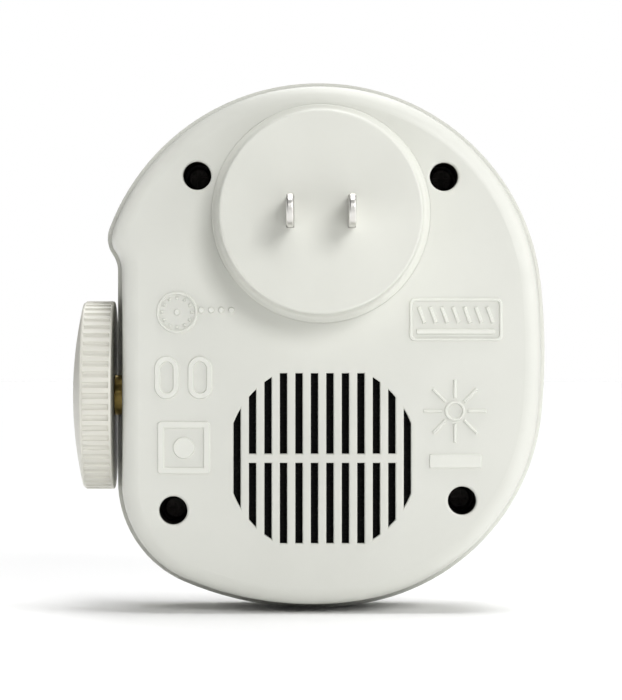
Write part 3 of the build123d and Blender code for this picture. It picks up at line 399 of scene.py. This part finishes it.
all_finishes = [
    housing_plastic(),
    moulded_plastic("plug_plastic", (0.665, 0.67, 0.615), 0.42),
    moulded_plastic("knob_plastic", (0.68, 0.67, 0.605), 0.38),
    moulded_plastic("shaft_plastic", (0.66, 0.65, 0.6), 0.45),
    moulded_plastic("holder_plastic", (0.02, 0.02, 0.021), 0.5, 0.7),
    moulded_plastic("bobbin_plastic", (0.025, 0.025, 0.027), 0.5, 0.7),
    moulded_plastic("chip_epoxy", (0.022, 0.022, 0.024), 0.55, 0.7, 0.15 * MM, 0.01 * MM),
    moulded_plastic("lead_sleeve", (0.62, 0.62, 0.58), 0.4, 0.93),
    moulded_plastic(
        "window_plastic", (0.5, 0.02, 0.012), 0.12, 0.8, depth=0.0005 * MM, transmission_weight=0.6
    ),
    moulded_plastic(
        "lamp_plastic", (0.55, 0.03, 0.02), 0.15, 0.8, depth=0.0005 * MM, transmission_weight=0.4
    ),
    moulded_plastic(
        "capacitor_film", (0.36, 0.035, 0.02), 0.22, 0.75, 2 * MM, 0.02 * MM, coat_weight=0.5
    ),
    speckled("ceramic_disc", (0.58, 0.24, 0.05), 0.35, 0.6 * MM, 0.02 * MM, 0.8),
    speckled("track_laminate", (0.23, 0.10, 0.035), 0.5, 0.4 * MM, 0.01 * MM, 0.75),
    speckled("ferrite", (0.045, 0.045, 0.05), 0.6, 0.25 * MM, 0.02 * MM),
    speckled("magnet_ferrite", (0.05, 0.05, 0.052), 0.55, 0.2 * MM, 0.02 * MM),
    speckled("gasket_foam", (0.02, 0.02, 0.02), 0.95, 0.35 * MM, 0.12 * MM, 0.4),
    moulded_plastic("sounder_steel", (0.025, 0.025, 0.026), 0.35, 0.8, coat_weight=0.3),
    ringed("coil_copper", (0.75, 0.34, 0.14), 0.3, 1, 0.18 * MM, 0.06 * MM, metallic=1.0),
    ringed("winding_tape", (0.72, 0.50, 0.06), 0.28, 2, 3.0 * MM, 0.05 * MM, coat_weight=0.4),
    fuse_glass(),
    worked_metal("blade_nickel", (0.78, 0.765, 0.73), 0.34, (6, 0.4, 6)),
    threaded_metal("screw_steel", (0.035, 0.032, 0.03), 0.5, 0.6 * MM),
    worked_metal("yoke_steel", (0.50, 0.50, 0.49), 0.32, (1, 5, 1)),
    worked_metal("can_steel", (0.56, 0.56, 0.54), 0.30, (5, 1, 1)),
    worked_metal("bushing_brass", (0.42, 0.31, 0.10), 0.42, (8, 1, 1)),
    worked_metal("wiper_bronze", (0.58, 0.38, 0.16), 0.28, (1, 1, 6)),
    capacitor_sleeve(),
    resistor_body(),
    board_laminate(),
    dust_cloth(),
    cone_paper(),
]
finishes = {made.name: made.material for made in all_finishes}
for node in nodes.values():
    slot = node.material_slots[0].material.name
    node.material_slots[0].material = finishes[slot]


# ---- camera, floor and light ----
def aimed(direction):
    """The turn that points a lamp or a camera along a direction."""
    return Vector(direction).to_track_quat("-Z", "Y").to_euler()


def add_sun(name, energy, angle, source):
    """A broad soft light from far off, on the side that source names."""
    data = bpy.data.lights.new(name, "SUN")
    data.energy = energy
    data.angle = math.radians(angle)
    lamp = bpy.data.objects.new(name, data)
    lamp.rotation_euler = aimed(-Vector(source))
    bpy.context.scene.collection.objects.link(lamp)


def add_softbox(name, power, width, place):
    """A square lamp near the object, turned towards its middle."""
    data = bpy.data.lights.new(name, "AREA")
    data.energy = power
    data.size = width
    lamp = bpy.data.objects.new(name, data)
    lamp.location = place
    lamp.visible_camera = False
    lamp.rotation_euler = aimed((cad_low + cad_high) / 2 - Vector(place))
    bpy.context.scene.collection.objects.link(lamp)


def add_camera():
    """Square on to the wall side, from across a table."""
    middle = (cad_low + cad_high) / 2
    data = bpy.data.cameras.new("camera")
    data.lens = 198.7
    data.sensor_width = 36.0
    data.clip_start = 0.01
    data.clip_end = 50.0
    camera = bpy.data.objects.new("camera", data)
    camera.location = (middle.x - 0.0004, cad_high.y + 0.78, middle.z - 0.001)
    camera.rotation_euler = aimed((0, -1, 0))
    bpy.context.scene.collection.objects.link(camera)
    bpy.context.scene.camera = camera


def add_floor():
    """A wide sheet of pale paper under the object."""
    half_width = 6.0
    mesh = bpy.data.meshes.new("floor")
    shape = bmesh.new()
    bmesh.ops.create_grid(shape, x_segments=1, y_segments=1, size=half_width)
    bmesh.ops.translate(shape, verts=shape.verts, vec=(0, 0, cad_low.z))
    shape.to_mesh(mesh)
    shape.free()
    floor = bpy.data.objects.new("floor", mesh)
    bpy.context.scene.collection.objects.link(floor)
    pale = Finish("floor_paper", (0.94, 0.94, 0.94), 0.9)
    mesh.materials.append(pale.material)


def add_world():
    """White behind everything, and a dimmer even light on the object."""
    world = bpy.data.worlds.new("studio")
    world.use_nodes = True
    tree = world.node_tree
    tree.nodes.clear()
    output = tree.nodes.new("ShaderNodeOutputWorld")
    seen = tree.nodes.new("ShaderNodeBackground")
    seen.inputs["Strength"].default_value = 1.0
    seen.inputs["Color"].default_value = (1, 1, 1, 1)
    lit = tree.nodes.new("ShaderNodeBackground")
    lit.inputs["Strength"].default_value = 0.03
    lit.inputs["Color"].default_value = (1, 1, 1, 1)
    rays = tree.nodes.new("ShaderNodeLightPath")
    blend = tree.nodes.new("ShaderNodeMixShader")
    tree.links.new(rays.outputs["Is Camera Ray"], blend.inputs["Fac"])
    tree.links.new(lit.outputs[0], blend.inputs[1])
    tree.links.new(seen.outputs[0], blend.inputs[2])
    tree.links.new(blend.outputs[0], output.inputs["Surface"])
    bpy.context.scene.world = world


bpy.context.scene.view_settings.view_transform = "Standard"
add_camera()
add_floor()
add_world()
add_sun("key_light", 1.38, 20, (-5.8, 16, 6.6))
add_sun("top_light", 1.9, 35, (-0.16, 0.08, 1))
add_sun("back_light", 1.3, 40, (-0.1, -0.8, 1))
add_softbox("side_light", 0.6, 0.3, (-0.36, 0.12, 0.12))
add_softbox("knob_light", 0.30, 0.3, (0.40, 0.02, 0.08))
